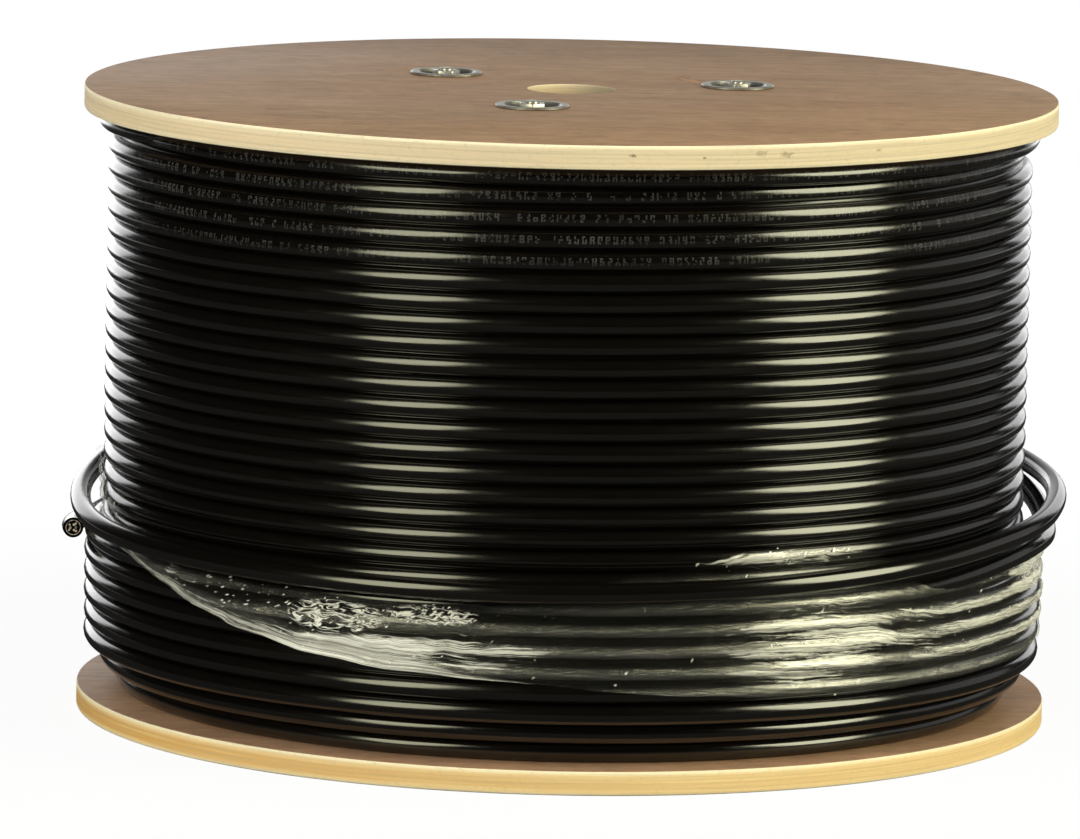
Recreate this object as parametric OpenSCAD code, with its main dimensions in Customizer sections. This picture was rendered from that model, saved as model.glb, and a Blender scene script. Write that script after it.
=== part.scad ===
// Plywood cable drum, standing on one flange, wound with round cable.
// Origin: centre of the lower flange's underside. +Z is the drum's axis, -Y is its front.

/* [Flanges] */
// Diameter of both flanges
flange_d = 400; // [396:1:460]
// Thickness of the plywood
flange_t = 10; // [9:0.5:18]
// Diameter of the arbor hole through both flanges
arbor_d = 36; // [25:1:60]
// Broken edge round the rim of a flange
rim_chamfer = 0.6; // [0.2:0.1:2]

/* [Barrel] */
// Clear width between the flanges
traverse = 238; // [180:1:300]
// Outside diameter of the barrel
barrel_d = 200; // [185:1:204]
// Wall of the barrel
barrel_wall = 6; // [3:0.5:10]
// Depth of the groove that seats the barrel in each flange
groove_depth = 3; // [1:0.5:4]

/* [Cable] */
// Diameter of the cable
cable_d = 8.4; // [7.6:0.1:8.6]
// Least gap between neighbouring turns
turn_gap = 0.08; // [0.05:0.01:0.5]
// Layers that run the full width
full_layers = 12; // [6:1:12]
// Rise from one layer to the next
layer_rise = 7.4; // [6.6:0.1:7.6]
// Turns in the part layer outside the full ones
lap_turns = 8; // [3:1:8]

/* [Tie bolts] */
// Number of tie bolts
bolt_count = 3; // [3:1:6]
// Diameter of the circle that the bolts stand on
bolt_circle_d = 143; // [100:1:146]
// Angle of the first bolt from the right-hand side
first_bolt_angle = 17; // [0:1:119]
// Shank diameter
bolt_d = 6; // [5:0.5:6.5]
// Width across the flats of head and nut
hex_af = 10; // [9:0.5:12]
// Height of the bolt's head
head_h = 4; // [3:0.5:4.4]
// Height of the nut
nut_h = 5; // [4:0.5:7]
// Length of shank that stands out of the nut
bolt_end = 1; // [1:0.5:6]

/* [Cup washers] */
// Outside diameter of the rim
washer_d = 30; // [27:0.5:36]
// Sheet thickness
washer_t = 1.2; // [0.8:0.1:1.5]
// Diameter of the dish at its mouth
cup_mouth_d = 23.5; // [19:0.5:23.5]
// Diameter of the dish at its floor
cup_floor_d = 17; // [15:0.5:18]
// Depth of the dish, inside
cup_depth = 4.5; // [4.4:0.1:5]

/* [Stretch film] */
// Thickness of the film band, all its wraps together
film_t = 0.4; // [0.2:0.1:1]
// Height of the band's top edge above the lower flange
film_top = 66; // [46:1:67]
// Width of the band where it lies flat
film_w = 39; // [20:1:42]
// Width of the band where it is gathered to a rope
film_rope_w = 6; // [3:1:15]

/* [Hidden] */

$fn = 96;
overrun = 1;

plywood = [0.72, 0.58, 0.42];
fibreboard = [0.62, 0.50, 0.36];
steel = [0.75, 0.76, 0.78];
jacket = [0.07, 0.07, 0.08];
film = [0.85, 0.90, 0.92];

// Heights of the faces that everything sits between
lower_face = flange_t;
upper_face = flange_t + traverse;
drum_h = upper_face + flange_t;

// Clearances
bolt_hole_clearance = 1;
washer_hole_clearance = 0.6;
thread_clearance = 0.2;
cup_clearance = 0.3;
groove_clearance = 0.2;
bore_clearance = 0.2;
lay_clearance = 0.1;
film_clearance = 0.3;

// Hexagons and small broken edges
hex_corner_d = hex_af / cos(30);
hex_chamfer = (hex_corner_d - hex_af) / 2;
shank_chamfer = 0.75;
washer_chamfer = 0.3;
nut_crown_share = 0.55;

// Dish of a washer: wall foot and mouth, with the rim's underside at zero
cup_floor_top = washer_t - cup_depth;
cup_floor_under = -cup_depth;

// Winding: whole turns share the width, and each layer lies on the one below
turns = floor(traverse / (cable_d + turn_gap));
pitch = traverse / turns;
winding_bore_r = barrel_d / 2 + bore_clearance;
first_layer_r = winding_bore_r + lay_clearance + cable_d / 2;
full_r = first_layer_r + (full_layers - 1) * layer_rise;
lap_r = full_r + layer_rise;
// How far the lowest turns of the part layer have slipped inwards, in layers
slip_shares = [1.8, 0.9];
// Depth of the groove between turns, as a share of the cable beyond its centre line
groove_share = 0.2;

// Band of film, gathered at the left front
film_r = lap_r + cable_d / 2 + film_clearance;
film_top_z = lower_face + film_top;
film_steps = 72;
gather_angle = 205;
gather_half_angle = 100;

// Loose end: angle from the right-hand side, distance from the axis, height
loose_route = [
    [-14, 198.9, 80.5], [-3, 199.4, 80.9], [9, 198.3, 87.8], [21, 196.6, 93], [38, 195.6, 97],
    [60, 195.4, 99.5], [86, 196, 101], [112, 197, 101.5], [136, 197, 100.5], [156, 197.8, 96.6],
    [178, 198.3, 90.8], [198, 201.6, 84.8], [218, 203, 82.8], [240, 203, 81.4], [264, 203, 80.7],
    [288, 204, 82.4], [310, 204, 85.6], [330, 203.6, 89.6], [348, 203.3, 92.7], [368, 203.2, 97],
    [392, 202.6, 102], [418, 201.5, 107], [446, 201, 109.5], [466, 205, 106], [482, 206.5, 96.5],
    [498, 205.4, 82.5], [514, 203.6, 73], [530, 202.8, 70.8], [547, 202.7, 75.3]];
tube_sides = 12;
rings_per_span = 3;

function bolt_angle(i) = first_bolt_angle + (i - 1) * 360 / bolt_count;
function turn_z(i) = lower_face + pitch * (i + 0.5);
function layer_r(k) = first_layer_r + k * layer_rise;
function row_r(i) =
    i < len(slip_shares) ? lap_r - slip_shares[i] * layer_rise :
    i < lap_turns ? lap_r : full_r;

module at_bolt(i) {
    rotate([0, 0, bolt_angle(i)]) translate([bolt_circle_d / 2, 0, 0]) children();
}

// Hexagon with its outer corners turned off; the crown is at the top
module hexagon(h) {
    crown_h = h - hex_chamfer * nut_crown_share;
    intersection() {
        cylinder(d = hex_corner_d, h = h, $fn = 6);
        rotate_extrude() polygon([
            [0, 0], [hex_corner_d / 2 + overrun, 0],
            [hex_corner_d / 2 + overrun, crown_h - overrun * nut_crown_share],
            [hex_corner_d / 2, crown_h], [hex_af / 2, h], [0, h]]);
    }
}

// Dished washer, its rim's underside at zero and its dish below
module washer_shape() {
    hole_r = (bolt_d + washer_hole_clearance) / 2;
    rotate_extrude() polygon([
        [hole_r, cup_floor_under], [cup_floor_d / 2 + washer_t, cup_floor_under],
        [cup_mouth_d / 2 + washer_t, 0], [washer_d / 2 - washer_chamfer, 0],
        [washer_d / 2, washer_chamfer], [washer_d / 2, washer_t - washer_chamfer],
        [washer_d / 2 - washer_chamfer, washer_t], [cup_mouth_d / 2, washer_t],
        [cup_floor_d / 2, cup_floor_top], [hole_r, cup_floor_top]]);
}

// Room that a washer's dish takes in the wood
module cup_seat() {
    rotate_extrude() polygon([
        [0, cup_floor_under - cup_clearance],
        [cup_floor_d / 2 + washer_t + cup_clearance, cup_floor_under - cup_clearance],
        [cup_mouth_d / 2 + washer_t + cup_clearance, 0],
        [cup_mouth_d / 2 + washer_t + cup_clearance, overrun], [0, overrun]]);
}

// Plywood disc from zero up, with its barrel groove in the upper side and its cup seats below
module flange_disc(rim_recess) {
    groove_r = barrel_d / 2;
    difference() {
        rotate_extrude() polygon([
            [arbor_d / 2, 0], [flange_d / 2 - rim_chamfer, 0], [flange_d / 2, rim_chamfer],
            [flange_d / 2, flange_t - rim_chamfer], [flange_d / 2 - rim_chamfer, flange_t],
            [arbor_d / 2, flange_t]]);
        rotate_extrude() polygon([
            [groove_r - barrel_wall - groove_clearance, flange_t - groove_depth],
            [groove_r + groove_clearance, flange_t - groove_depth],
            [groove_r + groove_clearance, flange_t + overrun],
            [groove_r - barrel_wall - groove_clearance, flange_t + overrun]]);
        for (i = [1:bolt_count]) at_bolt(i) {
            translate([0, 0, -overrun])
                cylinder(d = bolt_d + bolt_hole_clearance, h = flange_t + 2 * overrun);
            translate([0, 0, rim_recess]) mirror([0, 0, 1]) cup_seat();
            if (rim_recess > 0) translate([0, 0, -overrun])
                cylinder(d = washer_d + 2 * cup_clearance, h = rim_recess + overrun);
        }
    }
}

module bottom_flange() {
    color(plywood) flange_disc(washer_t);
}

module top_flange() {
    color(plywood) translate([0, 0, drum_h]) mirror([0, 0, 1]) flange_disc(0);
}

module barrel() {
    color(fibreboard) translate([0, 0, lower_face - groove_depth]) difference() {
        cylinder(d = barrel_d, h = traverse + 2 * groove_depth);
        translate([0, 0, -overrun])
            cylinder(d = barrel_d - 2 * barrel_wall, h = traverse + 2 * groove_depth + 2 * overrun);
    }
}

module cup_washer_top(i) {
    color(steel) at_bolt(i) translate([0, 0, drum_h]) washer_shape();
}

module cup_washer_bottom(i) {
    color(steel) at_bolt(i) translate([0, 0, washer_t]) mirror([0, 0, 1]) washer_shape();
}

module nut(i) {
    color(steel) at_bolt(i) translate([0, 0, drum_h + cup_floor_top]) difference() {
        hexagon(nut_h);
        translate([0, 0, -overrun])
            cylinder(d = bolt_d + thread_clearance, h = nut_h + 2 * overrun);
    }
}

// Head in the lower cup, shank up through the barrel and out of the nut
module tie_bolt(i) {
    seat_z = cup_depth;
    end_z = drum_h + cup_floor_top + nut_h + bolt_end;
    color(steel) at_bolt(i) union() {
        translate([0, 0, seat_z]) mirror([0, 0, 1]) hexagon(head_h);
        rotate_extrude() polygon([
            [0, seat_z - head_h / 2], [bolt_d / 2, seat_z - head_h / 2],
            [bolt_d / 2, end_z - shank_chamfer], [bolt_d / 2 - shank_chamfer, end_z], [0, end_z]]);
    }
}

// Outline of the winding in radius and height: a stepped body edged with one round per turn
module winding_outline() {
    body_out = groove_share * cable_d;
    end_lo = turn_z(0) - body_out;
    end_hi = turn_z(turns - 1) + body_out;
    steps = [for (i = [0:turns - 1]) each [
        [row_r(i) + body_out, i == 0 ? end_lo : turn_z(i) - pitch / 2],
        [row_r(i) + body_out, i == turns - 1 ? end_hi : turn_z(i) + pitch / 2]]];
    union() {
        polygon(concat([[winding_bore_r, end_lo]], steps, [[winding_bore_r, end_hi]]));
        for (i = [0:turns - 1]) translate([row_r(i), turn_z(i)]) circle(d = cable_d);
        for (k = [0:full_layers - 1]) {
            if (layer_r(k) < row_r(0) - cable_d / 2)
                translate([layer_r(k), turn_z(0)]) circle(d = cable_d);
            if (layer_r(k) < row_r(turns - 1) - cable_d / 2)
                translate([layer_r(k), turn_z(turns - 1)]) circle(d = cable_d);
        }
    }
}

module cable_winding() {
    color(jacket) rotate_extrude() winding_outline();
}

// Place on the route by index, carried on in the same sense past either end
function route_polar(i) =
    let (last = len(loose_route) - 1)
    i < 0 ? 2 * loose_route[0] - loose_route[1] :
    i > last ? 2 * loose_route[last] - loose_route[last - 1] : loose_route[i];
function route_at(i) =
    let (p = route_polar(i))
    [p[1] * cos(p[0]), p[1] * sin(p[0]), p[2]];
// Smooth curve through the route's points, u from 0 to 1 on span i
function smooth_at(i, u) =
    let (a = route_at(i - 1), b = route_at(i), c = route_at(i + 1), d = route_at(i + 2))
    b + u / 2 * ((c - a) + u * ((2 * a - 5 * b + 4 * c - d) + u * (3 * (b - c) + d - a)));
function unit(v) = v / norm(v);

// Round tube swept along the loose end's route
module loose_end() {
    path = [
        for (i = [0:len(loose_route) - 2]) for (j = [0:rings_per_span - 1]) smooth_at(i, j / rings_per_span),
        route_at(len(loose_route) - 1)];
    last = len(path) - 1;
    points = [for (k = [0:last])
        let (along = unit(path[min(k + 1, last)] - path[max(k - 1, 0)]),
             out = unit(cross(along, [0, 0, 1])), up = cross(out, along))
        for (s = [0:tube_sides - 1])
            path[k] + cable_d / 2 * (cos(s * 360 / tube_sides) * out + sin(s * 360 / tube_sides) * up)];
    walls = [for (k = [0:last - 1]) for (s = [0:tube_sides - 1])
        let (a = k * tube_sides + s, b = k * tube_sides + (s + 1) % tube_sides)
        each [[a, b + tube_sides, b], [a, a + tube_sides, b + tube_sides]]];
    start = [[for (s = [0:tube_sides - 1]) s]];
    end = [[for (s = [tube_sides - 1:-1:0]) last * tube_sides + s]];
    color(jacket) polyhedron(points, concat(walls, start, end));
}

// How far the band is gathered at an angle, from 0 to 1
function gathered(angle) =
    let (away = abs((angle - gather_angle + 540) % 360 - 180))
    away >= gather_half_angle ? 0 : (1 + cos(180 * away / gather_half_angle)) / 2;

// Thin closed ring of film whose lower edge climbs to the gather
module stretch_film() {
    corner_count = 4;
    points = [for (k = [0:film_steps - 1])
        let (angle = k * 360 / film_steps,
             low = film_top_z - film_w + (film_w - film_rope_w) * gathered(angle))
        for (p = [[film_r, low], [film_r + film_t, low], [film_r + film_t, film_top_z], [film_r, film_top_z]])
            [p[0] * cos(angle), p[0] * sin(angle), p[1]]];
    walls = [for (k = [0:film_steps - 1]) for (s = [0:corner_count - 1])
        let (next = (k + 1) % film_steps,
             a = k * corner_count + s, b = k * corner_count + (s + 1) % corner_count,
             c = next * corner_count + (s + 1) % corner_count, d = next * corner_count + s)
        each [[a, b, c], [a, c, d]]];
    color(film, 0.4) polyhedron(points, walls);
}

bottom_flange();
top_flange();
barrel();
for (i = [1:bolt_count]) {
    tie_bolt(i);
    cup_washer_top(i);
    cup_washer_bottom(i);
    nut(i);
}
cable_winding();
loose_end();
stretch_film();
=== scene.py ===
"""Dresses a plywood cable drum: flanges, cup washers, wound cable, its loose end and stretch film."""

import functools
import math

import bmesh
import bpy
from bpy.props import FloatProperty, FloatVectorProperty, IntProperty, PointerProperty
from mathutils import Matrix, Vector, noise


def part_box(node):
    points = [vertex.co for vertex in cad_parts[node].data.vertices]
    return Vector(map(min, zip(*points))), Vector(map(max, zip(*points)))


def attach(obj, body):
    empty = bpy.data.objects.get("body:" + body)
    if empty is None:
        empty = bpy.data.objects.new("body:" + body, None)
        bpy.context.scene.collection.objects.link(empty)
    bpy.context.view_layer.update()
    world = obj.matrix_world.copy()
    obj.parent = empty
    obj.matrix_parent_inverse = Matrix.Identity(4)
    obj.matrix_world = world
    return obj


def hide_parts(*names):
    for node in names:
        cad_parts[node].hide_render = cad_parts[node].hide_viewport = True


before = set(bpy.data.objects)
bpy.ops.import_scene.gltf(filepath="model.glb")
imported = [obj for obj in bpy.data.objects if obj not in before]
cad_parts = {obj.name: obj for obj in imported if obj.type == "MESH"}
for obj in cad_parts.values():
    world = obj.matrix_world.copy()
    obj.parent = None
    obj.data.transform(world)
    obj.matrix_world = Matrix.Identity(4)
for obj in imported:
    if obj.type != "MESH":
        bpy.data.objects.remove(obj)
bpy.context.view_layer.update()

bl_info = {
    "name": "Cable Drum",
    "version": (1, 0, 0),
    "blender": (4, 5, 0),
    "location": "View3D > Sidebar > Cable Drum",
    "description": "Plywood drum of black cable with a loose end and a gathered band of film",
    "category": "Object",
}

BODY = "root"
MM = 0.001
FULL_TURN = 2 * math.pi
WELD = 1e-7
BODY_WELD = 1e-6
WHITE = (1.0, 1.0, 1.0, 1.0)

# Steps round each turned or swept shape
RIM_STEPS = 288
BODY_STEPS = 160
GROOVE_STEPS = 144
BORE_STEPS = 72
WASHER_STEPS = 64
SEAT_STEPS = 56
FOIL_STEPS = 40
BOLT_STEPS = 32
CORE_STEPS = 14
WIRE_STEPS = 10
TURN_ROUND_STEPS = 7
LOOSE_ROUND_STEPS = 8

LOWER_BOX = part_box("bottom_flange")
UPPER_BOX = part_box("top_flange")
LOWER_FACE = LOWER_BOX[1][2]
UPPER_FACE = UPPER_BOX[0][2]
DRUM_HEIGHT = UPPER_BOX[1][2]
FLANGE_RADIUS = round(float(UPPER_BOX[1][0]), 4)
ARBOR_RADIUS = 18 * MM
BOLT_ANGLES = (17, 137, 257)
BOLT_CIRCLE_RADIUS = 71.5 * MM
CUP_RECESS = 1.2 * MM
HEX_ACROSS = 10 * MM
# A face belongs to the veneer where its normal is at least this upright
FACE_UPRIGHT = 0.9

# Torn spot in the upper face: its place and the angle that it runs at, then its colours
TORN_AT = (50 * MM, 41 * MM, math.radians(-66))
TORN_EDGE = (0.16, 0.075, 0.03, 1.0)
FRESH_WOOD = (0.46, 0.25, 0.12, 1.0)
# Knots in the upper edge: place, size and depth of colour, and how they are drawn out along it
EDGE_KNOTS = (
    ((23.8 * MM, -198.6 * MM, 253.8 * MM), 1.3 * MM, 0.9),
    ((84 * MM, -181.5 * MM, 253.6 * MM), 2.2 * MM, 0.45),
    ((74 * MM, -185.8 * MM, 254.4 * MM), 1.8 * MM, 0.35),
    ((52 * MM, -193.1 * MM, 253 * MM), 0.7 * MM, 0.6),
    ((121 * MM, -159.2 * MM, 253.4 * MM), 1.4 * MM, 0.4),
)
KNOT_SQUASH = (0.7, 0.7, 1.5)
# Shades of the veneer's bands, and of the sawn edge from its lower face to its upper one: the dark at the
# lower face is dark veneer and painted shadow, the light near the upper arris partly painted highlight
VENEER_BANDS = ((0.25, 0.82), (0.45, 0.98), (0.58, 1.06), (0.75, 1.2))
PLY_LEVELS = (
    (0.0, 0.30), (0.05, 0.72), (0.10, 1.06), (0.24, 1.02), (0.27, 0.82), (0.31, 0.98), (0.60, 1.0),
    (0.63, 0.8), (0.67, 1.03), (0.84, 1.08), (0.93, 1.2),
)
# Places from left to right, in metres: where the edge's golden heart fades, and over which painted shade
# darkens the bore's wall towards the right
HEART_FADES = (-0.17, 0.05)
BORE_PAINTED_SHADE = (-0.012, 0.013)
# Radii between which sawn wood turns from the rim's look to the bore's
BORE_LOOK = (0.1, 0.05)
ZINC_SPOT = (0.16, 0.13, 0.09, 1.0)
# Colour of the painted shade below the cup rims
CUP_PAINTED_SHADE = (0.05, 0.042, 0.032, 1.0)
# Printed strokes fade in over these heights
PRINT_BAND = (0.206, 0.212)
PRINT_GREY = (0.30, 0.30, 0.28, 1.0)
CUT_END_COLOURS = (
    (0.36, (0.05, 0.04, 0.03, 1)), (0.44, (0.45, 0.36, 0.26, 1)), (0.52, (0.85, 0.82, 0.76, 1)),
    (0.62, (0.62, 0.36, 0.18, 1)),
)

# Lamps: name, setting of the level, warm, azimuth, elevation, width and height in metres, seen in gloss
LAMP_REACH = 1.6
LAMPS = (
    ("left_softbox", "left_level", True, -128, 20, (0.68, 1.4), True),
    ("right_softbox", "right_level", True, -24, 21, (0.86, 1.6), True),
    ("right_rim", "right_rim", False, 64, 10, (0.6, 0.8), True),
    ("left_rim", "left_rim", False, 113, 8, (1.1, 0.9), True),
    ("right_side", "side_level", False, 20, 10, (1.3, 1.0), True),
    ("left_fill", "left_fill", False, -135, 34, (1.8, 1.8), False),
    ("right_fill", "right_fill", False, -35, 66, (1.6, 1.6), False),
)

# Winding: turns up its face, the angle that they are counted from, how many layers the lowest lap rows
# have slipped inwards, the number of lap rows, and the angle at which each steps up, with its half width
TURN_COUNT = 28
TURN_DATUM_DEG = -110
ROW_SLIPS = (1.8, 0.9)
LAP_ROWS = 8
LAP_STEP_DEG = 90
LAP_STEP_HALF_DEG = 50

# How far a turn strays outwards and upwards from its place
STRAY_OUT = 0.3 * MM
STRAY_UP = 0.22 * MM

# Loose end: angle in degrees, radius and height in millimetres
LOOSE_ROUTE = (
    (-14, 198.9, 80.5), (-3, 199.4, 80.9), (9, 198.3, 87.8), (21, 196.6, 93), (38, 195.6, 97),
    (60, 195.4, 99.5), (86, 196, 101), (112, 197, 101.5), (136, 197, 100.5), (156, 197.8, 96.6),
    (178, 198.3, 90.8), (198, 201.6, 84.8), (218, 203, 82.8), (240, 203, 81.4), (264, 203, 80.7),
    (288, 204, 82.4), (310, 204, 85.6), (330, 203.6, 89.6), (348, 203.3, 92.7), (368, 203.2, 97),
    (392, 202.6, 102), (418, 201.5, 107), (446, 201, 109.5), (466, 205, 106), (482, 206.5, 96.5),
    (498, 205.4, 82.5), (514, 203.6, 73), (530, 202.8, 70.8), (547, 202.7, 75.3),
)
# Steps of the curve between two points of the route
ROUTE_STEPS = 8
# Where the lap layer's last turn ends as the loose cable, and over what angle it climbs there
LAP_END_DEG = LAP_ROWS * 360 + LOOSE_ROUTE[0][0]
LAP_LEAVE_DEG = 34

# Names of the film's UV map and of the shares that its mesh carries
FILM_UV = "film_lay"
FILM_LAYERS = ("film_folds", "film_tufts", "film_crest")
# Shares of the way round between which the film turns calm, and between which its folds mirror more
FILM_CALMS = (0.372, 0.42)
FILM_MIRRORS = (0.25, 0.3)
# Film edges by angle: degrees and height in millimetres, round the whole drum
FILM_LOW = (
    (-180, 80), (-168, 81), (-160, 79), (-152, 75), (-144, 68), (-137, 61), (-129, 55.5), (-121, 50.5),
    (-109, 46.5), (-97, 44.5), (-90, 43), (-83, 41), (-74, 39), (-61, 36.5), (-14, 36.5), (20, 37), (60, 40),
    (100, 46), (130, 55), (158, 70), (180, 80),
)
FILM_HIGH = (
    (-180, 106), (-172, 104), (-165, 95), (-158, 85), (-149, 79), (-141, 79), (-130, 76), (-109, 74.5),
    (-99, 74), (-92, 77), (-86, 83), (-81, 87), (-74, 90), (-67, 95), (-62, 97), (-51, 94), (-44, 84),
    (-38, 79), (-24, 77), (-14, 75.5), (0, 75), (40, 77), (100, 78), (130, 80), (155, 90), (170, 100),
    (180, 106),
)
# How far creases stand off, by angle: degrees and millimetres
FILM_CRUMPLE = (
    (-180, 3.0), (-165, 2.4), (-152, 1.6), (-140, 2.2), (-128, 2.8), (-118, 3.2), (-110, 2.8), (-102, 2.0),
    (-95, 0.8), (-80, 0.4), (-60, 0.5), (-40, 0.7), (-24, 1.4), (-12, 2.2), (0, 1.8), (60, 0.8),
    (120, 1.2), (160, 2.4), (180, 3.0),
)
# Creases from large to small: waves round the drum, waves for each millimetre up, start
FILM_CREASES = ((9, 0.05, 0), (26, 0.14, 5), (70, 0.35, 11))
# How far the band's upper and lower edges stray up and down
RAGGED_HIGH = 1.3 * MM
RAGGED_LOW = 0.5 * MM
# How far the rolled hem stands off, as a share of its width
HEM_ROLL = 0.22
# Where folds make the film white: degrees, height, half width, half height in millimetres, share
FILM_FOLDS = (
    (-150, 76.5, 8, 2, 0.42), (-141.6, 75, 1.7, 2.6, 0.66), (-138.5, 71.5, 3, 3, 0.5),
    (-113, 54.5, 14, 8, 0.9), (-101, 56, 12, 10, 0.72), (-62, 91.5, 14, 6, 0.65),
    (-87, 80, 14, 3, 0.36), (-84, 57, 16, 15, 0.26),
    (-59, 57, 17, 21, 0.8), (-32, 56, 32, 22, 0.66), (-14, 69, 15, 9, 0.88), (-4, 55, 30, 20, 0.72),
    (-178, 92, 18, 14, 0.36), (90, 58, 80, 22, 0.4),
)
# Where it is crumpled into fine crests, painted with bright glints, in the same terms
FILM_TUFTS = (
    (-117, 66.5, 8, 8, 1.0), (-105, 69.5, 7, 5, 1.0), (-130, 70, 14, 8, 0.5), (-62, 92, 14, 6, 0.4),
    (-12, 72, 12, 9, 0.9), (-176, 90, 16, 15, 0.6), (150, 80, 30, 14, 0.5),
)
# Rolled hem along the lower edge, by angle: degrees and width in millimetres, then degrees and whiteness
FILM_HEM = (
    (-180, 0), (-166, 1), (-156, 5), (-145, 9.5), (-130, 12), (-118, 12.5), (-108, 11), (-101, 5), (-96, 1),
    (-92, 0), (180, 0),
)
FILM_HEM_WHITE = (
    (-180, 0.3), (-158, 0.46), (-145, 0.56), (-130, 0.62), (-118, 0.8), (-104, 0.78), (-94, 0.4), (180, 0.4),
)


def smooth_step(u):
    """Eases a share from 0 to 1."""
    u = min(max(u, 0.0), 1.0)
    return u * u * (3 - 2 * u)


def from_table(table, x):
    """Reads a table of places with eased steps between its rows."""
    for (x0, y0), (x1, y1) in zip(table, table[1:]):
        if x0 <= x <= x1:
            u = (x - x0) / (x1 - x0)
            return y0 + (y1 - y0) * (smooth_step(u) + u) / 2
    raise ValueError(f"no row in the table for {x}")


def polar(angle, radius, height):
    """Point at an angle in radians, a radius and a height."""
    return Vector((radius * math.cos(angle), radius * math.sin(angle), height))


def wobble(x, y, z=0.0):
    """Even noise from -1 to 1."""
    return noise.noise(Vector((x, y, z)))


def ridge(x, y, z=0.0):
    """Noise with sharp crests, from 0 to 1."""
    return 1 - abs(noise.noise(Vector((x, y, z)))) * 1.6


def put_piece(name, mesh, materials, nodes=()):
    """Links a mesh as a piece that rides on the drum and stands for the named CAD nodes."""
    piece = bpy.data.objects.new(name, mesh)
    bpy.context.scene.collection.objects.link(piece)
    for material in materials:
        mesh.materials.append(material)
    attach(piece, BODY)
    if nodes:
        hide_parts(*nodes)
    return piece


def finish_mesh(name, bm, smooth_angle=35):
    """Turns a bmesh into a mesh, smooth except over edges sharper than an angle in degrees."""
    bm.normal_update()
    for face in bm.faces:
        face.smooth = True
    limit = math.radians(smooth_angle)
    for edge in bm.edges:
        if len(edge.link_faces) == 2:
            edge.smooth = edge.calc_face_angle(0.0) < limit
    mesh = bpy.data.meshes.new(name)
    bm.to_mesh(mesh)
    bm.free()
    return mesh


def weld(bm, reach=WELD):
    """Merges doubles and turns the faces outwards."""
    bmesh.ops.remove_doubles(bm, verts=bm.verts, dist=reach)
    bmesh.ops.recalc_face_normals(bm, faces=bm.faces)


def turned(bm, profile, steps, centre=(0, 0, 0)):
    """Spins a profile of radius and height points a full turn about an upright axis."""
    centre = Vector(centre)
    line = [bm.verts.new(centre + Vector((r, 0, z))) for r, z in profile]
    edges = [bm.edges.new(pair) for pair in zip(line, line[1:])]
    bmesh.ops.spin(
        bm, geom=line + edges, cent=centre, axis=(0, 0, 1), dvec=(0, 0, 0), angle=FULL_TURN, space=Matrix(),
        steps=steps, use_merge=True, use_normal_flip=False, use_duplicate=False)


def cap_level(bm, height, inside=0.0, outside=math.inf):
    """Fills the open edges at one height, between two radii."""
    level, reach_slack = 1e-6, 1e-5
    edges = []
    for edge in bm.edges:
        reach = max(v.co.xy.length for v in edge.verts)
        is_open = len(edge.link_faces) == 1
        is_level = all(abs(v.co.z - height) <= level for v in edge.verts)
        if is_open and is_level and inside - reach_slack <= reach <= outside + reach_slack:
            edges.append(edge)
    if not edges:
        raise RuntimeError("no open edges to cap")
    bmesh.ops.triangle_fill(bm, edges=edges, use_beauty=True, use_dissolve=False, normal=(0, 0, 1))


def cable_curve(name, path, radius, round_steps):
    """Curve object that sweeps a round section along a path."""
    curve = bpy.data.curves.new(name, "CURVE")
    curve.dimensions = "3D"
    curve.twist_mode = "Z_UP"
    curve.bevel_depth = radius
    curve.bevel_resolution = round_steps
    spline = curve.splines.new("POLY")
    spline.points.add(len(path) - 1)
    for point, place in zip(spline.points, path):
        point.co = (*place, 1)
    swept = bpy.data.objects.new(name, curve)
    bpy.context.scene.collection.objects.link(swept)
    return swept


def tube_mesh(name, path, radius):
    """Sweeps a round section along a path and marks each point with its length and side."""
    holder = cable_curve(name, path, radius, TURN_ROUND_STEPS)
    curve = holder.data
    graph = bpy.context.evaluated_depsgraph_get()
    mesh = bpy.data.meshes.new_from_object(holder.evaluated_get(graph))
    bpy.data.objects.remove(holder)
    bpy.data.curves.remove(curve)
    mesh.name = name
    sides, left_over = divmod(len(mesh.vertices), len(path))
    if left_over:
        raise RuntimeError(f"{name}: rings don't match the path")
    lengths = [0.0]
    for a, b in zip(path, path[1:]):
        lengths.append(lengths[-1] + (b - a).length)
    along = mesh.attributes.new("lay_length", "FLOAT", "POINT")
    around = mesh.attributes.new("lay_side", "FLOAT", "POINT")
    for i, vertex in enumerate(mesh.vertices):
        place = path[i // sides]
        outward = Vector((place.x, place.y, 0)).normalized()
        offset = vertex.co - place
        along.data[i].value = lengths[i // sides]
        around.data[i].value = math.atan2(offset.z, offset.dot(outward))
    for polygon in mesh.polygons:
        polygon.use_smooth = True
    return mesh


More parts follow.
